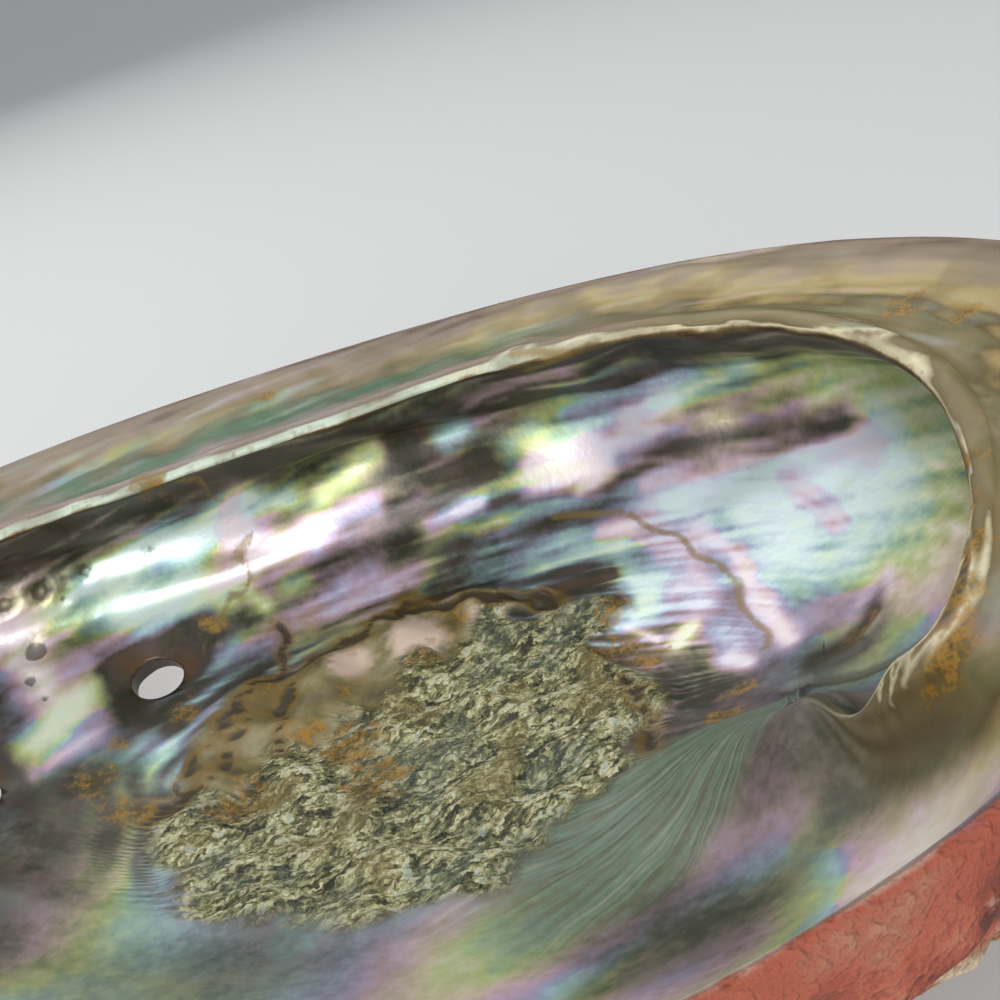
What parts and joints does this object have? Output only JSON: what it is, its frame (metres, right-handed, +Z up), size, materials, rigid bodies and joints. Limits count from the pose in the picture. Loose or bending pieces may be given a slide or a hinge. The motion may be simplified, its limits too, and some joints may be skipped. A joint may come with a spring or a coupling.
{
  "type": "abalone shell",
  "caption": "Oval abalone shell lying hollow side up: a nacre-lined bowl with a broad inner ledge, a rough muscle scar, a row of pores and a low spire on its outside.",
  "frame": {"origin": "on the surface that the shell rests on, below the middle of its oval outline", "axes": "+X towards the end with the spire, +Y towards the side with the inner ledge and the pores, +Z up out of the hollow"},
  "size_m": [0.17, 0.13, 0.0414],
  "materials": {
    "nacre": "satin iridescent nacre inside, chalky brick red outside"
  },
  "bodies": {
    "root": {"shell": "nacre"}
  },
  "joints": []
}
